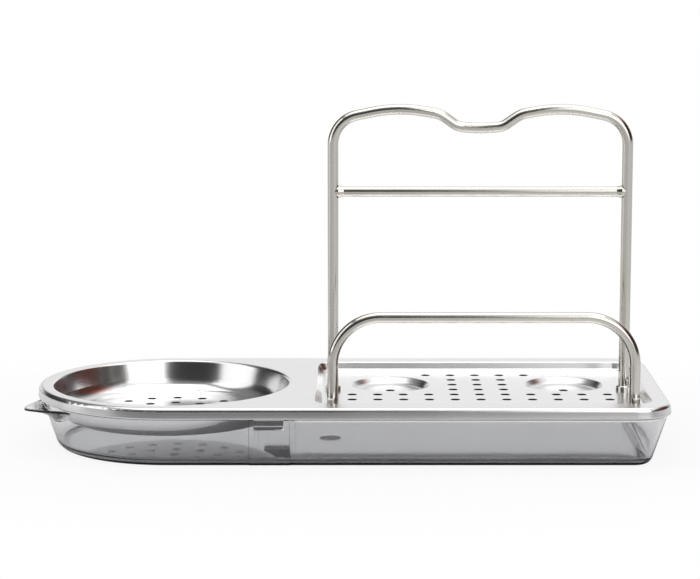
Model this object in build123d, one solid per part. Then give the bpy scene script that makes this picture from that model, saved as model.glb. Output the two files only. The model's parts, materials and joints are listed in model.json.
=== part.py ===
from build123d import *
from math import asin, cos, pi, radians, sin, sqrt, tan
import os

# Sponge holder: a pressed steel plate with a bowl, a drain pan and two wire frames, on a clear drip tray.
# Millimetres, +Z up, +X towards the pan, +Y towards the rear, where the tall rack's open side faces the
# dimples. The origin is the middle of the footprint, on the surface that the tray stands on.

os.makedirs("parts", exist_ok=True)

# Plate: one steel pressing with a folded hem round its skirt
plate_length = 294.2
plate_depth = 127.5
corner_radius = 17.0
sheet = 0.8
pan_height = 25.0
pan_depth = 3.8
skirt_height = 5.2
skirt_draft = 7.0
hem_height = 1.2
hem_round = 0.6
edge_round = 2.0
lip_round = 1.2

# Bowl at the rounded end, which holds the soap bottle, with the flat land left beside it
bowl_end_land = 6.2
bowl_side_land = 7.0
bowl_depth = 15.0
bowl_draft = 14.0
bowl_corner = 8.4

# Drain pan at the square end, which holds the sponge, with the flat land left beside it
pan_end_land = 8.0
pan_side_land = 11.25
bowl_to_pan = 11.5
pan_corner = 8.5
pan_draft = 31.0
pan_foot_round = 1.5

# Drain holes: a square grid in the pan, full in front of the rack and narrow between the dimples,
# and rings in the bowl, each with one more sixth of holes than the last
hole_diameter = 4.4
hole_pitch = 12.0
hole_margin = 12.0
middle_columns = 3
rear_columns = 5
holes_per_ring = 6

# Two round dimples in the pan that drain through a hole of their own; the shares are of the pan's length
dimple_depth = 3.1
dimple_draft = 43.0
dimple_corner = 3.5
dimple_rim_round = 1.0
dimple_behind_middle = 13.5
dimple_size_share = 0.242
dimple_spacing_share = 0.5375

# Wire frames: heights are of the wire's centre line above the pan
wire_diameter = 5.0
leg_to_pan_edge = 8.5
rack_height = 134.4
rack_corner_drop = 6.2
rack_saddle_drop = 10.1
rack_corner_radius = 14.0
crossbar_height = 94.6
crossbar_diameter = 4.8
weld_bead = 0.7
weld_reach = 2.5
weld_gap = 0.03
loop_height = 42.0
loop_radius = 22.0
# Crest, shoulder and dip of the rack's top: how far out they are and how round, as shares of the half
# span, and how far down, as shares of the saddle's drop
crest_span_share = 0.56
shoulder_span_share = 0.272
shoulder_drop_share = 0.34
dip_span_share = 0.152
dip_drop_share = 0.92
crest_round_share = 0.9565
shoulder_round_share = 0.1884
dip_round_share = 0.145
saddle_round_share = 0.87

# Leg fixings: a collar above the pan, a washer and a nut below it
stud_diameter = 4.0
stud_clearance = 0.15
collar_diameter = 7.3
collar_height = 2.2
collar_round = 0.9
washer_diameter = 9.0
washer_thickness = 0.8
nut_width = 7.0
nut_height = 3.2
nut_chamfer = 0.45
nut_sides = 6
stud_end = 0.9
thread_clearance = 0.05

# Drip tray: one clear moulding
tray_inset = 1.6
tray_draft = 18.5
tray_wall = 2.1
tray_floor = 2.0
tray_foot_round = 5.0
rim_clearance = 0.4
seat_clearance = 0.2
skirt_gap = 0.5
gate_diameter = 10.0
gate_depth = 0.6
gate_nub = 1.6
gate_left_of_middle = 8.8

# Pour spout on the rounded end, turned towards the front
spout_angle = 26.0
spout_reach = 12.2
spout_width = 42.0
spout_drop = 0.6
spout_depth = 13.0
spout_wall = 1.3
spout_edge = 0.9
spout_root = 0.3
spout_start = 0.6
spout_steps = 6
spout_points = 7
spout_checks = 100
# How the spout's width and reach grow with its height, how hollow its sides are and how soft its tip is
spout_width_share = 0.3
spout_reach_share = 5.5
spout_side_share = 1.5
spout_tip_share = 0.12
spout_spacing_share = 2.0

# Clips: bent steel tongues under the plate that drop into pockets in the tray's walls
clip_width = 13.2
clip_thickness = 0.8
clip_reach = 9.2
clip_flange = 7.0
clip_corner = 1.6
clip_inset = 4.1
clip_clearance = 0.3
clip_left_of_middle = 36.0
pocket_margin = 0.5
pocket_boss = 0.8
pocket_boss_width = 17.0
pocket_boss_corner = 2.0
wall_panel_width = 18.5
wall_panel = 0.4

# Construction allowances
overrun = 5.0
least_corner = 0.5
level_tolerance = 0.08
foot_round_share = 0.85

# Derived heights
pan_z = pan_height
top_z = pan_height + pan_depth
skirt_z = top_z - skirt_height
ledge_z = skirt_z - skirt_gap
spout_z = ledge_z - spout_drop
spout_low = spout_z - spout_edge - spout_depth
pocket_z = top_z - sheet - clip_reach - pocket_margin
hem_thickness = 2 * sheet
rim_inset = hem_thickness + skirt_height * tan(radians(skirt_draft)) + rim_clearance
rim_z = top_z - sheet - seat_clearance
tray_inner_inset = tray_inset + tray_wall
draft_rate = tan(radians(tray_draft))

# Derived sizes of the bowl, the pan and the frames
bowl_opening = plate_depth - 2 * bowl_side_land
pan_length = plate_length - bowl_end_land - bowl_opening - bowl_to_pan - pan_end_land
pan_width = plate_depth - 2 * pan_side_land
frame_span = pan_length - 2 * leg_to_pan_edge
loop_forward = pan_width / 2 - leg_to_pan_edge
dimple_diameter = pan_length * dimple_size_share
dimple_spacing = pan_length * dimple_spacing_share

# Derived counts of holes: columns beside the middle one, rows before and behind it, rings round the bowl's
side_columns = int((pan_length / 2 - hole_margin) / hole_pitch)
front_rows = int((loop_forward - hole_margin) / hole_pitch)
rear_rows = int((pan_width / 2 - hole_margin) / hole_pitch)
bowl_rings = int((bowl_opening / 2 - bowl_corner - hole_diameter) / hole_pitch)

# Derived places: the spout's tip and the plate's square end are equally far from the origin
end_radius = plate_depth / 2
spout_wall_radius = end_radius - tray_inset - (spout_drop + spout_edge) * draft_rate


def spout_outline(wall, share, base, inset, steps):
    """Points of a level section of the spout's front, as a hollow-sided bump on the round wall."""
    reach = (spout_reach - inset + base) * share**spout_reach_share
    half_angle = asin(min(spout_width / 2 / wall, 1)) * share**spout_width_share
    points = []
    for step in range(-steps, steps + 1):
        turn = step / steps
        away = sqrt(turn**2 + spout_tip_share**2) - spout_tip_share
        away /= sqrt(1 + spout_tip_share**2) - spout_tip_share
        radius = wall - base + reach * max(1 - away, 0) ** spout_side_share
        points.append((radius * cos(turn * half_angle), radius * sin(turn * half_angle)))
    return points


spout_lip = spout_outline(spout_wall_radius, 1, spout_root, 0, spout_checks)
spout_across = [x * cos(radians(spout_angle)) + y * sin(radians(spout_angle)) for x, y in spout_lip]
spout_overhang = max(spout_across) - end_radius
plate_right = (plate_length + max(spout_overhang, 0)) / 2
plate_left = plate_right - plate_length
end_x = plate_left + end_radius
plate_middle_x = (plate_left + plate_right) / 2
bowl_x = plate_left + bowl_end_land + bowl_opening / 2
pan_x = plate_right - pan_end_land - pan_length / 2
leg_places = {
    "rear_left": (pan_x - frame_span / 2, 0),
    "rear_right": (pan_x + frame_span / 2, 0),
    "front_left": (pan_x - frame_span / 2, -loop_forward),
    "front_right": (pan_x + frame_span / 2, -loop_forward),
}
clip_x = plate_middle_x - clip_left_of_middle


def outline(inset):
    """Plan of the plate, drawn in by inset: round at the bowl end, two rounded corners at the other."""
    half = end_radius - inset
    corner = max(corner_radius - inset, least_corner)
    right = plate_right - inset
    return make_face(
        Curve()
        + [
            CenterArc((end_x, 0), half, 90, 180),
            Line((end_x, -half), (right - corner, -half)),
            CenterArc((right - corner, corner - half), corner, -90, 90),
            Line((right, corner - half), (right, half - corner)),
            CenterArc((right - corner, half - corner), corner, 0, 90),
            Line((right - corner, half), (end_x, half)),
        ]
    )


def prism(face, low, high):
    """Straight solid over a plan, between two heights."""
    return extrude(Pos(0, 0, low) * face, amount=high - low)


def cylinder(x, y, diameter, low, high):
    return prism(Pos(x, y) * Circle(diameter / 2), low, high)


def skirt_form(inset, low, high):
    """Solid over the plate's plan that widens downwards as the skirt does, drawn in by inset."""
    plan = outline(inset + (high - skirt_z) * tan(radians(skirt_draft)))
    return extrude(Pos(0, 0, high) * plan, amount=high - low, dir=(0, 0, -1), taper=-skirt_draft)


def edges_at(solid, height):
    """The edges of a solid that lie level at one height."""
    found = []
    for edge in solid.edges():
        box = edge.bounding_box()
        if abs(box.min.Z - height) + abs(box.max.Z - height) < level_tolerance:
            found.append(edge)
    return found


def lip_reach(draft):
    """How far the lip's round reaches over the flat from where the flat would meet the drafted wall."""
    return lip_round * tan(radians((90 - draft) / 2))


def pan_block(grow, high):
    """Solid of the pan's inside: drafted walls on a rounded foot, grown by the sheet for its outside."""
    reach = grow / cos(radians(pan_draft)) - lip_reach(pan_draft)
    plan = RectangleRounded(pan_length + 2 * reach, pan_width + 2 * reach, pan_corner + reach)
    low = pan_z - grow
    block = extrude(Pos(pan_x, 0, top_z) * plan, amount=top_z - low, dir=(0, 0, -1), taper=pan_draft)
    block = fillet(edges_at(block, low), pan_foot_round + grow)
    return block + prism(Pos(pan_x, 0) * plan, top_z, high) if high > top_z else block


def dish(x, y, radius, rim, floor, draft, corner, high):
    """Turned solid of a round dish: a drafted wall through a rim of some radius, down to a rounded floor."""
    slope = tan(radians(draft))
    foot = radius - (rim - floor) * slope
    wide = radius + (high - rim) * slope
    wall = make_face(Polyline((0, floor), (foot, floor), (wide, high), (0, high), close=True))
    bend = wall.vertices().sort_by(Axis.Y)[0:2].sort_by(Axis.X)[-1]
    return Pos(x, y, 0) * revolve(Plane.XZ * fillet(bend, corner), Axis.Z)


def bowl_solid(grow, high):
    """The bowl's inside, grown by the sheet for its outside."""
    radius = bowl_opening / 2 - lip_reach(bowl_draft) + grow / cos(radians(bowl_draft))
    return dish(bowl_x, 0, radius, top_z, top_z - bowl_depth - grow, bowl_draft, bowl_corner + grow, high)


def dimple_solid(x, grow, high):
    """A dimple's inside, grown by the sheet for its outside."""
    radius = dimple_diameter / 2 + grow / cos(radians(dimple_draft))
    floor = pan_z - dimple_depth - grow
    return dish(x, dimple_behind_middle, radius, pan_z, floor, dimple_draft, dimple_corner + grow, high)


def dimple_rims(solid):
    """The round edges where the dimples leave the pan's floor."""
    found = []
    for edge in edges_at(solid, pan_z):
        box = edge.bounding_box()
        if abs(box.size.X - dimple_diameter) + abs(box.size.Y - dimple_diameter) < least_corner:
            found.append(edge)
    return found


def drain_holes():
    """Cutters for every drain hole, each through its own floor."""
    low = pan_z - dimple_depth - sheet - overrun
    holes = []
    for row in range(-front_rows, rear_rows + 1):
        columns = 2 * side_columns + 1 if row < 0 else middle_columns
        if row == rear_rows:
            columns = rear_columns
        for column in range(columns):
            x = pan_x + (column - (columns - 1) / 2) * hole_pitch
            holes.append(cylinder(x, row * hole_pitch, hole_diameter, low, top_z))
    for side in (-1, 1):
        x = pan_x + side * dimple_spacing / 2
        holes.append(cylinder(x, dimple_behind_middle, hole_diameter, low, top_z))
    low = top_z - bowl_depth - sheet - overrun
    holes.append(cylinder(bowl_x, 0, hole_diameter, low, top_z))
    for ring in range(1, bowl_rings + 1):
        count = ring * holes_per_ring
        for step in range(count):
            turn = 2 * pi * step / count
            x = bowl_x + ring * hole_pitch * sin(turn)
            y = ring * hole_pitch * cos(turn)
            holes.append(cylinder(x, y, hole_diameter, low, top_z))
    for x, y in leg_places.values():
        holes.append(cylinder(x, y, stud_diameter + 2 * stud_clearance, pan_z - sheet - overrun, top_z))
    return holes


def make_plate():
    """Pressed plate with bowl, pan, dimples, drain holes and a hemmed skirt."""
    shell = fillet(edges_at(skirt_form(0, skirt_z, top_z), top_z), edge_round)
    hollow = skirt_form(sheet, skirt_z - overrun, top_z - sheet)
    hollow = fillet(edges_at(hollow, top_z - sheet), edge_round - sheet)
    hem_z = skirt_z + hem_height
    hem = skirt_form(0, skirt_z, hem_z) - skirt_form(hem_thickness, skirt_z - overrun, hem_z)
    hem = fillet(edges_at(hem, skirt_z), hem_round)
    skin = shell - hollow
    skin -= prism(outline(-overrun), skirt_z, hem_z)
    skin += hem
    skin += bowl_solid(sheet, top_z) + pan_block(sheet, top_z)
    dimple_xs = [pan_x - dimple_spacing / 2, pan_x + dimple_spacing / 2]
    for x in dimple_xs:
        skin += dimple_solid(x, sheet, pan_z)
    skin -= bowl_solid(0, top_z + overrun)
    skin -= pan_block(0, top_z + overrun)
    skin = fillet(edges_at(skin, top_z), lip_round)
    for x in dimple_xs:
        skin -= dimple_solid(x, 0, pan_z)
    skin = fillet(dimple_rims(skin), dimple_rim_round)
    skin -= drain_holes()
    return skin


def swept_wire(points, radii, y):
    """Round wire along straight runs joined by arcs, in an upright plane across the pan."""
    path = Plane.XZ.offset(-y) * FilletPolyline(*points, radius=radii)
    section = Plane(origin=path @ 0, z_dir=path % 0) * Circle(wire_diameter / 2)
    return sweep(section, path=path)


def with_studs(frame, y):
    """Adds the threaded ends that pass through the pan."""
    low = pan_z - sheet - washer_thickness - nut_height - stud_end
    for side in (-1, 1):
        frame += cylinder(pan_x + side * frame_span / 2, y, stud_diameter, low, pan_z)
    return frame


def make_rack():
    """Tall rear frame, with a saddle in its top that a brush hangs from."""
    half = frame_span / 2
    crest = pan_z + rack_height
    right = [
        (half, crest - rack_corner_drop),
        (half * crest_span_share, crest),
        (half * shoulder_span_share, crest - rack_saddle_drop * shoulder_drop_share),
        (half * dip_span_share, crest - rack_saddle_drop * dip_drop_share),
    ]
    radii = [rack_corner_radius]
    radii += [half * share for share in (crest_round_share, shoulder_round_share, dip_round_share)]
    points = [(pan_x - half, pan_z)]
    points += [(pan_x - u, z) for u, z in right]
    points += [(pan_x, crest - rack_saddle_drop)]
    points += [(pan_x + u, z) for u, z in reversed(right)]
    points += [(pan_x + half, pan_z)]
    return with_studs(swept_wire(points, radii + [half * saddle_round_share] + radii[::-1], 0), 0)


def make_loop():
    """Low front frame that keeps the sponge upright."""
    half = frame_span / 2
    top = pan_z + loop_height
    points = [(pan_x - half, pan_z), (pan_x - half, top), (pan_x + half, top), (pan_x + half, pan_z)]
    return with_studs(swept_wire(points, [loop_radius] * 2, -loop_forward), -loop_forward)


def make_crossbar():
    """Bar welded between the rack's legs, with a bead at each end."""
    z = pan_z + crossbar_height
    half = frame_span / 2
    radius = crossbar_diameter / 2
    bar = Pos(pan_x, 0, z) * Rot(0, 90, 0) * Cylinder(radius, frame_span)
    for side in (-1, 1):
        bead = Rot(0, -90 * side, 0) * Cone(radius + weld_bead, radius, weld_reach)
        bar += Pos(pan_x + side * (half - (wire_diameter + weld_reach) / 2), 0, z) * bead
    for side in (-1, 1):
        bar -= cylinder(pan_x + side * half, 0, wire_diameter + 2 * weld_gap, z - overrun, z + overrun)
    return bar.solids().sort_by(SortBy.VOLUME)[-1]


def make_collar(x, y):
    """Ring that hides the hole where a leg meets the pan."""
    ring = cylinder(x, y, collar_diameter, pan_z, pan_z + collar_height)
    ring = fillet(edges_at(ring, pan_z + collar_height), collar_round)
    return ring - cylinder(x, y, wire_diameter + 2 * weld_gap, pan_z, top_z)


def make_washer(x, y):
    high = pan_z - sheet
    low = high - washer_thickness
    bore = stud_diameter + 2 * stud_clearance
    return cylinder(x, y, washer_diameter, low, high) - cylinder(x, y, bore, low, high)


def make_nut(x, y):
    """Hexagon nut with its corners turned off."""
    high = pan_z - sheet - washer_thickness
    low = high - nut_height
    hexagon = prism(Pos(x, y) * RegularPolygon(nut_width / 2, nut_sides, major_radius=False), low, high)
    across_corners = nut_width / cos(pi / nut_sides)
    turned = cylinder(x, y, across_corners, low, high)
    turned = chamfer(edges_at(turned, low) + edges_at(turned, high), nut_chamfer)
    return (hexagon & turned) - cylinder(x, y, stud_diameter + 2 * thread_clearance, low, high)


def tray_form(inset, low, foot):
    """Drafted solid of the tray, from its ledge down, drawn in by inset, with its lower edge rounded."""
    depth = ledge_z - low
    form = extrude(Pos(0, 0, ledge_z) * outline(inset), amount=depth, dir=(0, 0, -1), taper=tray_draft)
    lower_corner = max(corner_radius - inset - depth * draft_rate, least_corner)
    return fillet(edges_at(form, low), min(foot, lower_corner * foot_round_share))


def spout_section(z, lift, base, inset):
    """Level section of the spout, pointing along +X."""
    share = (z - lift - spout_low) / spout_depth
    wall = end_radius - tray_inset - (ledge_z - z) * draft_rate
    front = Spline(*spout_outline(wall, share, base, inset, spout_points))
    first = front @ 0
    last = front @ 1
    back = min(first.X, last.X) - overrun
    sides = Polyline((last.X, last.Y), (back, last.Y), (back, first.Y), (first.X, first.Y))
    return make_face([front, sides])


def spout_form(lift, base, inset, low, high):
    """Smooth solid through the spout's sections between two heights, which are closer near the top."""
    sections = []
    for step in range(spout_steps + 1):
        z = high - (high - low) * (1 - step / spout_steps) ** spout_spacing_share
        sections.append(Pos(0, 0, z) * spout_section(z, lift, base, inset))
    return loft(sections)


def spout_outside():
    """Spout without its channel: its underside leaves the drafted wall and curves out to the tip."""
    high = spout_z - spout_edge
    under = spout_form(0, spout_root, 0, spout_low + spout_start, high)
    return under + prism(spout_section(high, 0, spout_root, 0), high, spout_z)


def spout_inside():
    """Channel down the spout, with the notch in the rim that leads to it."""
    base = tray_wall + spout_root
    channel = spout_form(spout_edge, base, spout_wall, spout_low + spout_start + spout_edge, spout_z)
    return channel + prism(spout_section(spout_z, spout_edge, base, spout_wall), spout_z, rim_z + overrun)


def place_spout(solid):
    return Pos(end_x, 0, 0) * Rot(0, 0, 180 + spout_angle) * solid


def wall_details(side):
    """Raised wall panel and pocket boss where a clip drops into the tray's long wall."""
    panel = tray_form(tray_inset - wall_panel, 0, tray_foot_round)
    panel &= prism(Pos(clip_x, side * end_radius) * Rectangle(wall_panel_width, end_radius), 0, ledge_z)
    pad = RectangleRounded(pocket_boss_width, 2 * (ledge_z - pocket_z + pocket_margin), pocket_boss_corner)
    boss = extrude(Plane.XZ * Pos(clip_x, ledge_z) * pad, amount=-side * end_radius)
    return panel + (boss & tray_form(tray_inset - pocket_boss, 0, tray_foot_round))


def clip_pocket(side):
    """Cutter for the pocket that a clip's tongue stands in, open to the inside and upwards."""
    face = end_radius - clip_inset + clip_clearance
    depth = clip_clearance + clip_thickness + overrun
    plan = Pos(clip_x, side * (face - depth / 2)) * Rectangle(clip_width + 2 * clip_clearance, depth)
    return prism(plan, pocket_z, ledge_z)


def gate_mark():
    """Cutter for the round moulding gate under the floor, which leaves a nub in its middle."""
    x = plate_middle_x - gate_left_of_middle
    nub = cylinder(x, 0, gate_nub, gate_depth / 2, gate_depth)
    return cylinder(x, 0, gate_diameter, 0, gate_depth) - nub


def make_tray():
    """Drip tray with a rim inside the plate's skirt, a spout and two pockets for the clips."""
    tray = tray_form(tray_inset, 0, tray_foot_round)
    tray += prism(outline(rim_inset), ledge_z - tray_floor, rim_z)
    tray += place_spout(spout_outside())
    for side in (-1, 1):
        tray += wall_details(side)
    tray -= tray_form(tray_inner_inset, tray_floor, tray_foot_round - tray_floor / 2)
    tray -= prism(outline(tray_inner_inset), ledge_z, rim_z + overrun)
    tray -= place_spout(spout_inside())
    for side in (-1, 1):
        tray -= clip_pocket(side)
    return tray - gate_mark()


def make_clip(side):
    """Bent tongue, welded by its flange under the plate's edge."""
    high = top_z - sheet
    tongue_plan = RectangleRounded(clip_width, 2 * clip_reach, clip_corner)
    face = side * (end_radius - clip_inset)
    tongue = extrude(Plane.XZ.offset(-face) * Pos(clip_x, high) * tongue_plan, amount=side * clip_thickness)
    above = Pos(clip_x, face) * Rectangle(2 * clip_width, 2 * clip_flange)
    tongue -= prism(above, high, high + 2 * clip_reach)
    middle = side * (end_radius - clip_inset - clip_flange / 2)
    flange = prism(Pos(clip_x, middle) * Rectangle(clip_width, clip_flange), high - clip_thickness, high)
    return tongue + flange


def make_parts():
    """Every piece, by the name of its node."""
    parts = {
        "drip_tray": make_tray(),
        "top_plate": make_plate(),
        "rear_rack": make_rack(),
        "rear_crossbar": make_crossbar(),
        "front_loop": make_loop(),
        "front_clip": make_clip(-1),
        "rear_clip": make_clip(1),
    }
    for name, (x, y) in leg_places.items():
        parts[name + "_collar"] = make_collar(x, y)
        parts[name + "_washer"] = make_washer(x, y)
        parts[name + "_nut"] = make_nut(x, y)
    return parts


for node, solid in make_parts().items():
    export_step(solid, f"parts/{node}.step")
    print(node, round(solid.volume, 1))
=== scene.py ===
"""Sponge holder on a white table: steel top with a bowl, a drain pan and wire frames, on a clear tray."""
import json
import math

import bmesh
import bpy
from mathutils import Matrix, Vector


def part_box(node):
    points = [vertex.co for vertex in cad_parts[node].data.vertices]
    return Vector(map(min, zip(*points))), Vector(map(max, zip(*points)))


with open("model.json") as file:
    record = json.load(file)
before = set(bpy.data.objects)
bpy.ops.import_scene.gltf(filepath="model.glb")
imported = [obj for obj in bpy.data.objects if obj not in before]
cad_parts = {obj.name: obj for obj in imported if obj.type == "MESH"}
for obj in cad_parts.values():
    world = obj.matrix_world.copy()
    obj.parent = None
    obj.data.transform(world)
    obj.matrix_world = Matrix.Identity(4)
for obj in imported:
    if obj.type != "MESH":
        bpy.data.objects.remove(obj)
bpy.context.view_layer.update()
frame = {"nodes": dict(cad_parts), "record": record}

MM = 0.001

# Boxes of the nodes that the finishes are placed by, in metres
plate_low, plate_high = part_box("top_plate")
rack_low, rack_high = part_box("rear_rack")
clip_low, clip_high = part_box("front_clip")
collar_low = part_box("rear_left_collar")[0]
tray_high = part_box("drip_tray")[1]

# Plate: the flat land beside the bowl, the sheet, and half the field of drain holes in the pan
BOWL_END_LAND = 6.2 * MM
BOWL_SIDE_LAND = 7.0 * MM
SHEET = 0.8 * MM
HOLES_HALF_LENGTH = 75.0 * MM
HOLES_HALF_DEPTH = 51.0 * MM
PLATE_X = (plate_low.x + plate_high.x) / 2
PLATE_HALF_DEPTH = (plate_high.y - plate_low.y) / 2
BOWL_RADIUS = PLATE_HALF_DEPTH - BOWL_SIDE_LAND
BOWL_X = plate_low.x + BOWL_END_LAND + BOWL_RADIUS
BOWL_Z = plate_low.z + SHEET
PAN_X = (rack_low.x + rack_high.x) / 2
PAN_Z = collar_low.z

# Wire frames: the drawn lines turn from level to upright between these two widths, in from the side
RACK_HALF_WIDTH = (rack_high.x - rack_low.x) / 2
LINES_LEVEL = 10.0 * MM
LINES_UPRIGHT = 6.0 * MM

# Clips: a painted highlight, a bright line along the lower edge of the tongue
CLIP_X = (clip_low.x + clip_high.x) / 2
CLIP_HIGHLIGHT_RISE = 1.2 * MM
CLIP_HIGHLIGHT_WIDTH = 0.5 * MM
CLIP_HIGHLIGHT_SOFT = 0.1 * MM
CLIP_HIGHLIGHT_Z = clip_low.z + CLIP_HIGHLIGHT_RISE

# Tray: the ledge under the plate's hem, a painted highlight on its lip right of the clip, the panel by
# the clip with its two seams, painted contact shadow on the foot, and the moulding mark under the floor
LEDGE_DROP = 4.7 * MM
LEDGE_Z = tray_high.z - LEDGE_DROP
LIP_BELOW = 0.9 * MM
LIP_ABOVE = 0.2 * MM
LIP_SOFT = 0.15 * MM
LIP_START = 9.0 * MM
LIP_FULL = 14.0 * MM
LIP_DEPTH_START = -0.5 * PLATE_HALF_DEPTH
LIP_DEPTH_FULL = -0.8 * PLATE_HALF_DEPTH
PANEL_HALF_WIDTH = 9.25 * MM
SEAM_OUTER = 0.3 * MM
SEAM_INNER = 0.1 * MM
SEAM_TOP_SOFT = 1.0 * MM
FOOT_SHADOW_HEIGHTS = (1.6 * MM, 0.2 * MM)
FOOT_EDGE_SHADOW_HEIGHTS = (2.2 * MM, 1.2 * MM)
GATE_LEFT_OF_MIDDLE = 8.8 * MM
GATE_X = PLATE_X - GATE_LEFT_OF_MIDDLE
GATE_RADIUS = 5.0 * MM
GATE_SOFT = 0.2 * MM
GATE_HEIGHT = 0.7 * MM
FLOOR_HEIGHT = 2.3 * MM
FLOOR_SOFT = 0.1 * MM

# Colours, each pair from the dark to the light of a mottled metal
SHEET_STEEL = (0.74, 0.74, 0.745), (0.83, 0.83, 0.835)
# Painted shade: near black on the walls of the drain holes, standing in for the shade under the plate
# seen through them
HOLE_PAINTED_SHADE = (0.05, 0.05, 0.048)
WIRE_STEEL = (0.61, 0.585, 0.54), (0.73, 0.705, 0.655)
# Near-black clip steel: painted shade, because the clip's tab sits in shadow inside the tray's pocket
CLIP_PAINTED_SHADE = (0.03, 0.03, 0.031), (0.06, 0.06, 0.062)
FIXING_STEEL = (0.42, 0.42, 0.43), (0.60, 0.60, 0.61)
# Painted highlight along the lower edge of the clip's tongue
CLIP_PAINTED_HIGHLIGHT = (0.5, 0.5, 0.51)
CLEAR = (0.945, 0.948, 0.96)
# Painted contact shadow at the tray's foot
CLEAR_FOOT_PAINTED_SHADOW = (0.45, 0.455, 0.47)
CLEAR_SEAM = (0.3, 0.3, 0.31)
# Near black: painted contact shadow along the tray's bottom edge
CLEAR_FOOT_EDGE_SHADOW = (0.05, 0.05, 0.055)
CLEAR_GATE = (0.12, 0.12, 0.13)
# White of the painted highlight on the tray's lip
LIP_HIGHLIGHT_WHITE = (0.95, 0.95, 0.95)
DEEP_SHADE = (0.02, 0.02, 0.022)
LIGHT_THROUGH_TRAY = (0.86, 0.865, 0.88)
WHITE = (1.0, 1.0, 1.0)
TABLE = (0.8, 0.8, 0.8)
TABLE_AT_DUSK = (0.45, 0.45, 0.45)
RUSSET = (1.0, 0.3, 0.22)

# The camera of the photograph
CAMERA_PLACE = (2.1 * MM, -1107.1 * MM, 244.0 * MM)
CAMERA_PITCH = 8.775
CAMERA_LENS = 121.96
CAMERA_SENSOR = 36.0

# Table, in metres
TABLE_SIZE = (1.1, 0.75)
TABLE_PLACE = (0.0, 0.10, -0.05 * MM)
SHADOW_Y = 0.03
SHADOW_STRETCH = 0.45
SHADOW_SPAN = (0.25, 0.10)
SHADOW_SHARE = 0.12
DUSK_DEPTH_SPAN = (-0.09, -0.16)
DUSK_WIDTH_SPAN = (0.16, -0.04)

# Soft boxes: place and size in metres, the point that each is aimed at, and the white that it looks like
SOFT_BOXES = {
    "top_box": {
        "place": (0.0, -0.05, 1.1),
        "aim": (0.0, -0.05, 0.0),
        "size": (1.3, 1.0),
        "level": 1.2,
    },
    "right_box": {
        "place": (0.74, -1.11, 0.68),
        "aim": (0.74, 0.0, 0.68),
        "size": (1.14, 1.04),
        "level": 1.25,
    },
    "left_box": {
        "place": (-1.1, -0.43, 0.8),
        "aim": (0.0, -0.43, 0.8),
        "size": (0.92, 1.28),
        "level": 1.25,
    },
}

# What the metal mirrors, by direction in degrees. Turn is 0 at the camera's side, 90 at the right and
# -90 at the left. Height is 0 level with the table and 90 overhead. Three numbers are a zone's two limits
# and their softness, two are where a step starts and where it is full.
DARK_CORNER = (-168.0, -92.0, 4.0)
DARK_CORNER_FOOT = 3.0
DARK_CORNER_RISE = 10.0
DARK_CORNER_SOFT = 4.0
DARK_CORNER_FAR = (-130.0, -150.0)
REAR_WALL = (124.0, 160.0)
RIGHT_SHELF = (4.0, 50.0, 4.0)
LEFT_SHELF = (-90.0, -48.0, 6.0)
SHELF_TOP = (14.0, 6.0)
UPPER_ROOM = (26.0, 46.0)
RUSSET_TURN = (84.0, 124.0, 5.0)
RUSSET_HEIGHT = (4.0, 45.0, 4.0)
TABLE_RIGHT = (15.0, 130.0, 8.0)
TABLE_LEFT = (-102.0, -78.0, 5.0)
HORIZON = (2.5, -1.0)
CEILING = 52.0
CEILING_SOFT = 20.0
CEILING_LEFT = (-40.0, -60.0)
CEILING_LEFT_RISE = 6.0
CEILING_RIGHT = (20.0, 50.0)
CEILING_RIGHT_DROP = 14.0
CEILING_RIGHT_CURVE = 0.0048
CEILING_RIGHT_END = 115.0
CEILING_RIGHT_SHARPER = 6.0
OPEN_RIGHT = 50.0
OPEN_RIGHT_START = (4.0, 12.0)
OPEN_RIGHT_END = (60.0, 46.0)

# How bright each of them is, where 1 is white
ROOM_LEVEL = 0.03
UPPER_ROOM_LEVEL = 0.19
RIGHT_SHELF_LEVEL = 0.36
LEFT_SHELF_LEVEL = 0.4
REAR_WALL_LEVEL = 0.97
RUSSET_LEVEL = 0.06
TABLE_LEVEL = 0.6
TABLE_RIGHT_LEVEL = 0.1
TABLE_LEFT_LEVEL = 0.4
PLAIN_LIGHT = 0.55


# Shader maths


class Signal:
    """A socket's value. Arithmetic on it adds Math nodes."""

    def __init__(self, tree, socket):
        self.tree = tree
        self.socket = socket

    def __add__(self, other):
        return self.tree.math("ADD", self, other)

    def __radd__(self, other):
        return self.tree.math("ADD", other, self)

    def __sub__(self, other):
        return self.tree.math("SUBTRACT", self, other)

    def __rsub__(self, other):
        return self.tree.math("SUBTRACT", other, self)

    def __mul__(self, other):
        return self.tree.math("MULTIPLY", self, other)

    def __rmul__(self, other):
        return self.tree.math("MULTIPLY", other, self)

    def __neg__(self):
        return self.tree.math("MULTIPLY", self, -1.0)

    def __abs__(self):
        return self.tree.math("ABSOLUTE", self)

    def root(self):
        return self.tree.math("SQRT", self)

    def most(self, other):
        return self.tree.math("MAXIMUM", self, other)

    def angle_from(self, other):
        """The angle of the point whose height is this and whose width is other."""
        return self.tree.math("ARCTAN2", self, other)

    def rise(self, low, high):
        """Soft step from 0 at low to 1 at high. Where high is the lower number, it falls."""
        settings = {"interpolation_type": "SMOOTHSTEP"}
        values = {"Value": self, "From Min": low, "From Max": high}
        return self.tree.add("ShaderNodeMapRange", settings, values)

    def within(self, limit, soft):
        """1 up to a limit and 0 past it."""
        return self.rise(limit + soft, limit - soft)

    def band(self, low, high, soft):
        """1 between low and high and 0 outside them."""
        return self.rise(low - soft, low + soft) * self.within(high, soft)


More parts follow.
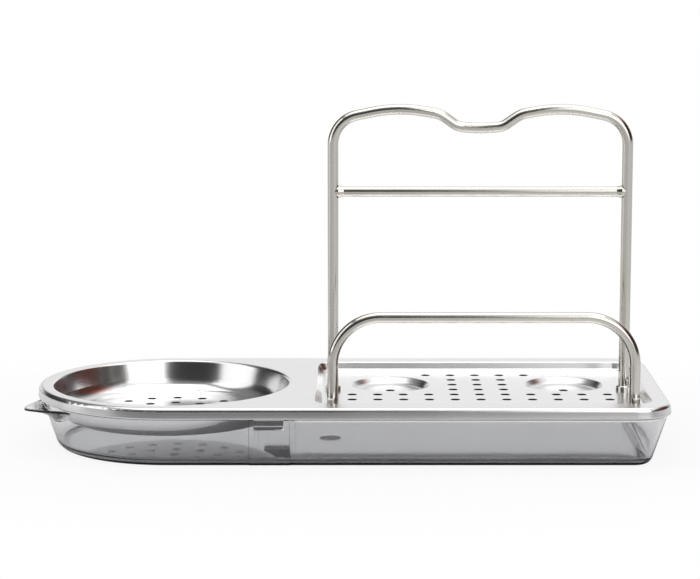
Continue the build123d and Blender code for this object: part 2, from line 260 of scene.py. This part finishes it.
class Tree:
    """The nodes of one material or of the world."""

    def __init__(self, owner):
        owner.use_nodes = True
        self.nodes = owner.node_tree.nodes
        self.links = owner.node_tree.links
        self.nodes.clear()

    def add(self, kind, settings=None, values=None, output=None):
        """Adds a node, sets it, fills or links its inputs, and gives its first or named output.

        A tuple of names gives a list of outputs. Colours are three numbers.
        """
        node = self.nodes.new(kind)
        for name, value in (settings or {}).items():
            if name == "stops":
                self.fill_ramp(node.color_ramp, value)
            else:
                setattr(node, name, value)
        for name, value in (values or {}).items():
            socket = node.inputs[name]
            if isinstance(value, Signal):
                self.links.new(value.socket, socket)
            else:
                socket.default_value = (*value, 1.0) if socket.type == "RGBA" else value
        if isinstance(output, tuple):
            return [Signal(self, node.outputs[name]) for name in output]
        live = [socket for socket in node.outputs if socket.enabled and output in (None, socket.name)]
        return Signal(self, live[0]) if live else None

    @staticmethod
    def fill_ramp(ramp, stops):
        for element, (place, colour) in zip(ramp.elements, stops):
            element.position = place
            element.color = (*colour, 1.0)

    def math(self, operation, *values):
        return self.add("ShaderNodeMath", {"operation": operation}, dict(enumerate(values)))

    def place(self):
        return self.add("ShaderNodeTexCoord", output="Object")

    def levelness(self):
        """1 where the surface lies level and 0 where it stands upright."""
        return abs(self.parts_of(self.add("ShaderNodeTexCoord", output="Normal"))[2])

    def ray(self, kind):
        """1 for one kind of ray, such as Camera or Glossy."""
        return self.add("ShaderNodeLightPath", output=f"Is {kind} Ray")

    def parts_of(self, vector):
        """The three numbers of a vector."""
        return self.add("ShaderNodeSeparateXYZ", values={0: vector}, output=("X", "Y", "Z"))

    def vector(self, x, y, z):
        return self.add("ShaderNodeCombineXYZ", values={0: x, 1: y, 2: z})

    def noise(self, vector, scale, detail=3.0):
        values = {"Vector": vector, "Scale": scale, "Detail": detail}
        return self.add("ShaderNodeTexNoise", values=values, output="Fac")

    def streaks(self, parts, scales, detail=3.0):
        """Noise that is drawn out, with a scale for each of its three numbers: the larger, the finer."""
        drawn_out = self.vector(*(part * scale for part, scale in zip(parts, scales)))
        return self.noise(drawn_out, 1.0, detail)

    def blend(self, share, first, second):
        """Colour mix. Sockets 6 and 7 are the node's two colours."""
        values = {0: share, 6: first, 7: second}
        return self.add("ShaderNodeMix", {"data_type": "RGBA"}, values, output="Result")

    def tint(self, signal, low, high):
        """A colour that runs from low to high as a number runs from 0 to 1."""
        settings = {"stops": [(0.0, low), (1.0, high)]}
        return self.add("ShaderNodeValToRGB", settings, {0: signal}, output="Color")

    def bump(self, height, depth):
        return self.add("ShaderNodeBump", values={"Height": height, "Distance": depth, "Strength": 1.0})

    def mix(self, share, first, second):
        """Shader mix."""
        return self.add("ShaderNodeMixShader", values={0: share, 1: first, 2: second})

    def steel(self, colour, roughness, normal):
        values = {"Base Color": colour, "Metallic": 1.0, "Roughness": roughness, "Normal": normal}
        return self.add("ShaderNodeBsdfPrincipled", values=values)

    def finish(self, shader):
        self.add("ShaderNodeOutputMaterial", values={"Surface": shader})


def new_material(name):
    material = bpy.data.materials.new(name)
    return material, Tree(material)


# Finishes


# Polished steel: the scales of its patterns along three directions, what they and each place add to its
# roughness, and where each place starts and is full
STRAIGHT_POLISH = (25.0, 1600.0, 1600.0)
ROUND_POLISH = (2.0, 1500.0, 1500.0)
SMEARS = (30.0, 90.0, 90.0)
SMEAR_DETAIL = 2.0
SHEET_CLOUD = 22.0
POLISH_DEPTH = 0.004 * MM
SHEET_SMOOTHEST = 0.12
CLOUD_ROUGHNESS = 0.06
SMEAR_ROUGHNESS = 0.04
POLISH_ROUGHNESS = 0.04
PAN_ROUGHNESS = 0.05
TOP_ROUGHNESS = 0.1
HOLE_SHADE_ROUGHNESS = 0.3
CLOUD_IN_COLOUR = 0.6
BOWL_RIM_OUTSIDE = 0.5 * MM
BOWL_RIM_INSIDE = 1.0 * MM
PAN_LIP = (PAN_Z + 0.8 * MM, PAN_Z + 0.2 * MM)
TOP_FACE = (plate_high.z - 0.3 * MM, plate_high.z - 0.05 * MM)
UNDER_FLOORS = (PAN_Z - 0.02 * MM, PAN_Z - 0.1 * MM)
OVER_BOWL_FLOOR = (BOWL_Z + 0.1 * MM, BOWL_Z + 0.3 * MM)
HOLE_FIELD_SOFT = 1.0 * MM
HOLE_WALL = (0.4, 0.2)


def make_polished_steel():
    """Pressed stainless sheet: straight polish on flats, round polish in the bowl, painted shade on the
    walls of the drain holes.
    """
    material, tree = new_material("polished_steel")
    place = tree.place()
    x, y, z = tree.parts_of(place)
    across = x - BOWL_X
    radius = (across * across + y * y).root()
    turn = y.angle_from(across)
    in_bowl = radius.rise(BOWL_RADIUS + BOWL_RIM_OUTSIDE, BOWL_RADIUS - BOWL_RIM_INSIDE)
    in_pan = z.rise(*PAN_LIP) * (1.0 - in_bowl)
    on_top = z.rise(*TOP_FACE)

    straight_polish = tree.streaks((x, y, z), STRAIGHT_POLISH)
    round_polish = tree.streaks((turn, radius, z), ROUND_POLISH)
    polish = straight_polish + in_bowl * (round_polish - straight_polish)
    cloud = tree.noise(place, SHEET_CLOUD)
    smears = tree.streaks((x, y, z), SMEARS, SMEAR_DETAIL)

    # Painted shade on the upright walls of the drain holes in the pan and the bowl floor
    in_field = abs(x - PAN_X).within(HOLES_HALF_LENGTH, HOLE_FIELD_SOFT) + in_bowl
    in_field = in_field * abs(y).within(HOLES_HALF_DEPTH, HOLE_FIELD_SOFT)
    hole_painted_shade = z.rise(*UNDER_FLOORS) * in_field * tree.levelness().rise(*HOLE_WALL)
    hole_painted_shade = hole_painted_shade * (1.0 - in_bowl * z.rise(*OVER_BOWL_FLOOR))

    roughness = SHEET_SMOOTHEST + CLOUD_ROUGHNESS * cloud + SMEAR_ROUGHNESS * smears
    roughness = roughness + POLISH_ROUGHNESS * polish + PAN_ROUGHNESS * in_pan
    roughness = roughness + TOP_ROUGHNESS * on_top + HOLE_SHADE_ROUGHNESS * hole_painted_shade
    shade = CLOUD_IN_COLOUR * cloud + (1.0 - CLOUD_IN_COLOUR) * polish
    colour = tree.blend(hole_painted_shade, tree.tint(shade, *SHEET_STEEL), HOLE_PAINTED_SHADE)
    tree.finish(tree.steel(colour, roughness, tree.bump(polish, POLISH_DEPTH)))
    return material


# Satin steel
LEG_LINES = (4000.0, 4000.0, 20.0)
LEVEL_LINES = (20.0, 4000.0, 4000.0)
WIRE_CLOUD = 60.0
LINE_DEPTH = 0.001 * MM
WIRE_SMOOTHEST = 0.1
WIRE_ROUGHNESS = 0.05


def make_satin_steel():
    """Bent stainless wire, drawn along its length."""
    material, tree = new_material("satin_steel")
    place = tree.place()
    x, y, z = tree.parts_of(place)
    on_legs = abs(x - PAN_X).rise(RACK_HALF_WIDTH - LINES_LEVEL, RACK_HALF_WIDTH - LINES_UPRIGHT)
    leg_lines = tree.streaks((x, y, z), LEG_LINES)
    level_lines = tree.streaks((x, y, z), LEVEL_LINES)
    lines = level_lines + on_legs * (leg_lines - level_lines)
    cloud = tree.noise(place, WIRE_CLOUD)
    roughness = WIRE_SMOOTHEST + WIRE_ROUGHNESS * cloud + WIRE_ROUGHNESS * lines
    colour = tree.tint(CLOUD_IN_COLOUR * cloud + (1.0 - CLOUD_IN_COLOUR) * lines, *WIRE_STEEL)
    tree.finish(tree.steel(colour, roughness, tree.bump(lines, LINE_DEPTH)))
    return material


# Plain steel
MOTTLE = 700.0
MOTTLE_DETAIL = 4.0
PLAIN_CLOUD = 150.0
PLAIN_CLOUD_DETAIL = 2.0
MOTTLE_IN_COLOUR = 0.5
MOTTLE_ROUGHNESS = 0.16
MOTTLE_DEPTH = 0.01 * MM
CLIP_SMOOTHEST = 0.3
FIXING_SMOOTHEST = 0.25


def make_plain_steel(name, shades, smoothest, highlight_z=None):
    """Dull, mottled steel of small parts, with a line of painted highlight where a height is given."""
    material, tree = new_material(name)
    place = tree.place()
    mottle = tree.noise(place, MOTTLE, MOTTLE_DETAIL)
    cloud = tree.noise(place, PLAIN_CLOUD, PLAIN_CLOUD_DETAIL)
    colour = tree.tint(MOTTLE_IN_COLOUR * mottle + (1.0 - MOTTLE_IN_COLOUR) * cloud, *shades)
    if highlight_z is not None:
        z = tree.parts_of(place)[2]
        # Painted highlight: a bright band at the given height
        highlight_line = z.band(highlight_z, highlight_z + CLIP_HIGHLIGHT_WIDTH, CLIP_HIGHLIGHT_SOFT)
        colour = tree.blend(highlight_line, colour, CLIP_PAINTED_HIGHLIGHT)
    roughness = smoothest + MOTTLE_ROUGHNESS * mottle
    tree.finish(tree.steel(colour, roughness, tree.bump(mottle, MOTTLE_DEPTH)))
    return material


# Clear plastic
HAZE = 40.0
FINE = 900.0
FINE_DETAIL = 2.0
HAZE_IN_BUMP = 0.8
FLOW_DEPTH = 0.02 * MM
CLEAR_SMOOTHEST = 0.015
HAZE_ROUGHNESS = 0.05
GATE_ROUGHNESS = 0.4
LIP_HIGHLIGHT_ROUGHNESS = 0.4
SHADE_ROUGHNESS = 0.6
CLEAR_IOR = 1.5
GATE_SEEN_FROM_ABOVE = 0.5
FOOT_ROUND = (0.97, 0.85)
SEAM_SHARE = 0.35
LIP_HIGHLIGHT_SHARE = 0.8
GATE_SHARE = 0.95
FOOT_EDGE_SHADOW_SHARE = 0.85


def make_clear_plastic():
    """Smoky clear plastic, glossy, with faint flow marks, a painted highlight on its lip and painted
    contact shadow at its foot. It lets the lamps' light through.
    """
    material, tree = new_material("clear_plastic")
    place = tree.place()
    x, y, z = tree.parts_of(place)
    haze = tree.noise(place, HAZE)
    fine = tree.noise(place, FINE, FINE_DETAIL)

    beside_gate = x - GATE_X
    on_gate = (beside_gate * beside_gate + y * y).root().within(GATE_RADIUS, GATE_SOFT)
    from_above = GATE_SEEN_FROM_ABOVE * z.within(FLOOR_HEIGHT, FLOOR_SOFT)
    gate = z.within(GATE_HEIGHT, FLOOR_SOFT).most(from_above) * on_gate
    foot_edge_shadow = z.rise(*FOOT_EDGE_SHADOW_HEIGHTS) * tree.levelness().rise(*FOOT_ROUND)
    seam = abs(abs(x - CLIP_X) - PANEL_HALF_WIDTH).rise(SEAM_OUTER, SEAM_INNER)
    seam = seam * z.rise(LEDGE_Z, LEDGE_Z - SEAM_TOP_SOFT)
    # Painted highlight: a white band along the ledge's lip right of the clip, where its shoulder catches
    # the light
    lip_highlight = z.band(LEDGE_Z - LIP_BELOW, LEDGE_Z + LIP_ABOVE, LIP_SOFT)
    lip_highlight = lip_highlight * x.rise(CLIP_X + LIP_START, CLIP_X + LIP_FULL)
    lip_highlight = lip_highlight * y.rise(LIP_DEPTH_START, LIP_DEPTH_FULL)

    # Painted contact shadow: the tray is coloured darker towards its bottom edge
    colour = tree.blend(z.rise(*FOOT_SHADOW_HEIGHTS), CLEAR, CLEAR_FOOT_PAINTED_SHADOW)
    colour = tree.blend(SEAM_SHARE * seam, colour, CLEAR_SEAM)
    # Painted contact shadow along the rounded bottom edge
    colour = tree.blend(foot_edge_shadow, colour, CLEAR_FOOT_EDGE_SHADOW)
    colour = tree.blend(gate, colour, CLEAR_GATE)
    flow = HAZE_IN_BUMP * haze + (1.0 - HAZE_IN_BUMP) * fine
    clear = {
        "Base Color": colour,
        "Roughness": CLEAR_SMOOTHEST + HAZE_ROUGHNESS * haze + GATE_ROUGHNESS * gate,
        "IOR": CLEAR_IOR,
        "Transmission Weight": 1.0,
        "Normal": tree.bump(flow, FLOW_DEPTH),
    }
    # The white body is the painted highlight on the lip
    highlight_body = {"Base Color": LIP_HIGHLIGHT_WHITE, "Roughness": LIP_HIGHLIGHT_ROUGHNESS}
    shaded = {"Base Color": DEEP_SHADE, "Roughness": SHADE_ROUGHNESS, "Specular IOR Level": 0.0}
    body = tree.add("ShaderNodeBsdfPrincipled", values=clear)
    body = tree.mix(LIP_HIGHLIGHT_SHARE * lip_highlight, body, tree.add("ShaderNodeBsdfPrincipled", values=highlight_body))
    # The dark body is painted contact shadow on the foot's edge, and the dark of the gate mark
    shade_share = (GATE_SHARE * gate).most(FOOT_EDGE_SHADOW_SHARE * foot_edge_shadow)
    body = tree.mix(shade_share, body, tree.add("ShaderNodeBsdfPrincipled", values=shaded))
    through = tree.add("ShaderNodeBsdfTransparent", values={"Color": LIGHT_THROUGH_TRAY})
    tree.finish(tree.mix(tree.ray("Shadow"), body, through))
    return material


def dress_parts():
    """Gives every node the finish of its material slot."""
    finishes = {
        "polished_steel": make_polished_steel(),
        "satin_steel": make_satin_steel(),
        # The clip's near-black steel is painted shade
        "clip_steel": make_plain_steel("clip_steel", CLIP_PAINTED_SHADE, CLIP_SMOOTHEST, CLIP_HIGHLIGHT_Z),
        "fixing_steel": make_plain_steel("fixing_steel", FIXING_STEEL, FIXING_SMOOTHEST),
        "clear_plastic": make_clear_plastic(),
    }
    for row in frame["record"]["subparts"]:
        for slot in frame["nodes"][row["node"]].material_slots:
            slot.material = finishes[row["material_slot"]]


# Studio


def link(name, data):
    """Puts an object into the scene."""
    made = bpy.data.objects.new(name, data)
    bpy.context.scene.collection.objects.link(made)
    return made


def make_table():
    """White table. To the camera it is nearly white paper, and it keeps a faint shadow."""
    mesh = bpy.data.meshes.new("studio_floor")
    form = bmesh.new()
    spread = Matrix.LocRotScale(TABLE_PLACE, None, (*TABLE_SIZE, 1.0))
    bmesh.ops.create_grid(form, x_segments=1, y_segments=1, size=0.5, matrix=spread)
    form.to_mesh(mesh)
    form.free()
    material, tree = new_material("studio_floor")
    mesh.materials.append(material)
    floor = link("studio_floor", mesh)

    x, y, _ = tree.parts_of(tree.place())
    away = y - SHADOW_Y
    near = (x * x * SHADOW_STRETCH + away * away).root().rise(*SHADOW_SPAN)
    dusk = y.rise(*DUSK_DEPTH_SPAN) * tree.ray("Glossy") * x.rise(*DUSK_WIDTH_SPAN)
    paper = tree.add("ShaderNodeBsdfDiffuse", values={"Color": tree.tint(dusk, TABLE, TABLE_AT_DUSK)})
    white = tree.add("ShaderNodeEmission", values={"Color": WHITE, "Strength": 1.0})
    tree.finish(tree.mix(tree.ray("Camera") * (1.0 - SHADOW_SHARE * near), paper, white))


def ceiling_over(turn):
    """Height in degrees at which the white ceiling starts. It comes down at the right."""
    aside = (CEILING_RIGHT_END - turn).most(0.0)
    drop = turn.rise(*CEILING_RIGHT) * (CEILING_RIGHT_DROP + CEILING_RIGHT_CURVE * aside * aside)
    open_right = OPEN_RIGHT * turn.rise(*OPEN_RIGHT_START) * turn.rise(*OPEN_RIGHT_END)
    return CEILING + CEILING_LEFT_RISE * turn.rise(*CEILING_LEFT) - drop.most(open_right)


def mirrored_level(turn, height, russet):
    """How bright the studio is in the metal: a dark room, its shelves, walls, ceiling and table."""
    corner_foot = DARK_CORNER_FOOT + DARK_CORNER_RISE * turn.rise(*DARK_CORNER_FAR)
    dark_corner = turn.band(*DARK_CORNER) * height.rise(corner_foot, corner_foot + DARK_CORNER_SOFT)
    rear_wall = abs(turn).rise(*REAR_WALL) * (1.0 - dark_corner)
    shelves = RIGHT_SHELF_LEVEL * turn.band(*RIGHT_SHELF) + LEFT_SHELF_LEVEL * turn.band(*LEFT_SHELF)
    ceiling = ceiling_over(turn)
    ceiling_soft = CEILING_SOFT - CEILING_RIGHT_SHARPER * turn.rise(*CEILING_RIGHT)

    level = ROOM_LEVEL + UPPER_ROOM_LEVEL * height.rise(*UPPER_ROOM) + shelves * height.rise(*SHELF_TOP)
    level = level + rear_wall * (REAR_WALL_LEVEL - level)
    level = level + height.rise(ceiling, ceiling + ceiling_soft) * (1.0 - level)
    level = level + RUSSET_LEVEL * russet
    table = TABLE_LEVEL + TABLE_RIGHT_LEVEL * turn.band(*TABLE_RIGHT)
    table = table + TABLE_LEFT_LEVEL * turn.band(*TABLE_LEFT)
    return level + height.rise(*HORIZON) * (table - level)


def make_world():
    """White studio with plain light. Only what the metal mirrors has dark zones and a russet one."""
    world = bpy.data.worlds.new("studio")
    bpy.context.scene.world = world
    tree = Tree(world)
    x, y, z = tree.parts_of(tree.add("ShaderNodeTexCoord", output="Generated"))
    turn = x.angle_from(-y) * math.degrees(1.0)
    height = tree.math("ARCSINE", z) * math.degrees(1.0)
    russet = turn.band(*RUSSET_TURN) * height.band(*RUSSET_HEIGHT)
    glossy = tree.ray("Glossy")
    light = PLAIN_LIGHT + glossy * (mirrored_level(turn, height, russet) - PLAIN_LIGHT)
    light = light + tree.ray("Camera").most(tree.ray("Transmission")) * (1.0 - light)
    colour = tree.blend(glossy * russet, WHITE, RUSSET)
    background = tree.add("ShaderNodeBackground", values={"Color": colour, "Strength": light})
    tree.add("ShaderNodeOutputWorld", values={"Surface": background})


def make_soft_box(name, place, aim, size, level):
    """Area light, aimed at a point, that looks as bright as a white of that level."""
    lamp = bpy.data.lights.new(name, "AREA")
    lamp.shape = "RECTANGLE"
    lamp.size, lamp.size_y = size
    lamp.energy = level * math.pi * lamp.size * lamp.size_y
    box = link(name, lamp)
    box.visible_camera = False
    box.location = place
    along_x, along_y, along_z = (end - start for end, start in zip(aim, place))
    tilt = math.atan2(math.hypot(along_x, along_y), -along_z)
    box.rotation_euler = (tilt, 0.0, math.atan2(-along_x, along_y))


def make_camera():
    view = bpy.data.cameras.new("photo_camera")
    view.lens = CAMERA_LENS
    view.sensor_width = CAMERA_SENSOR
    camera = link("photo_camera", view)
    camera.location = CAMERA_PLACE
    camera.rotation_euler = (math.radians(90.0 - CAMERA_PITCH), 0.0, 0.0)
    bpy.context.scene.camera = camera


dress_parts()
make_table()
make_world()
for name, box in SOFT_BOXES.items():
    make_soft_box(name, **box)
make_camera()
bpy.context.scene.view_settings.view_transform = "Standard"
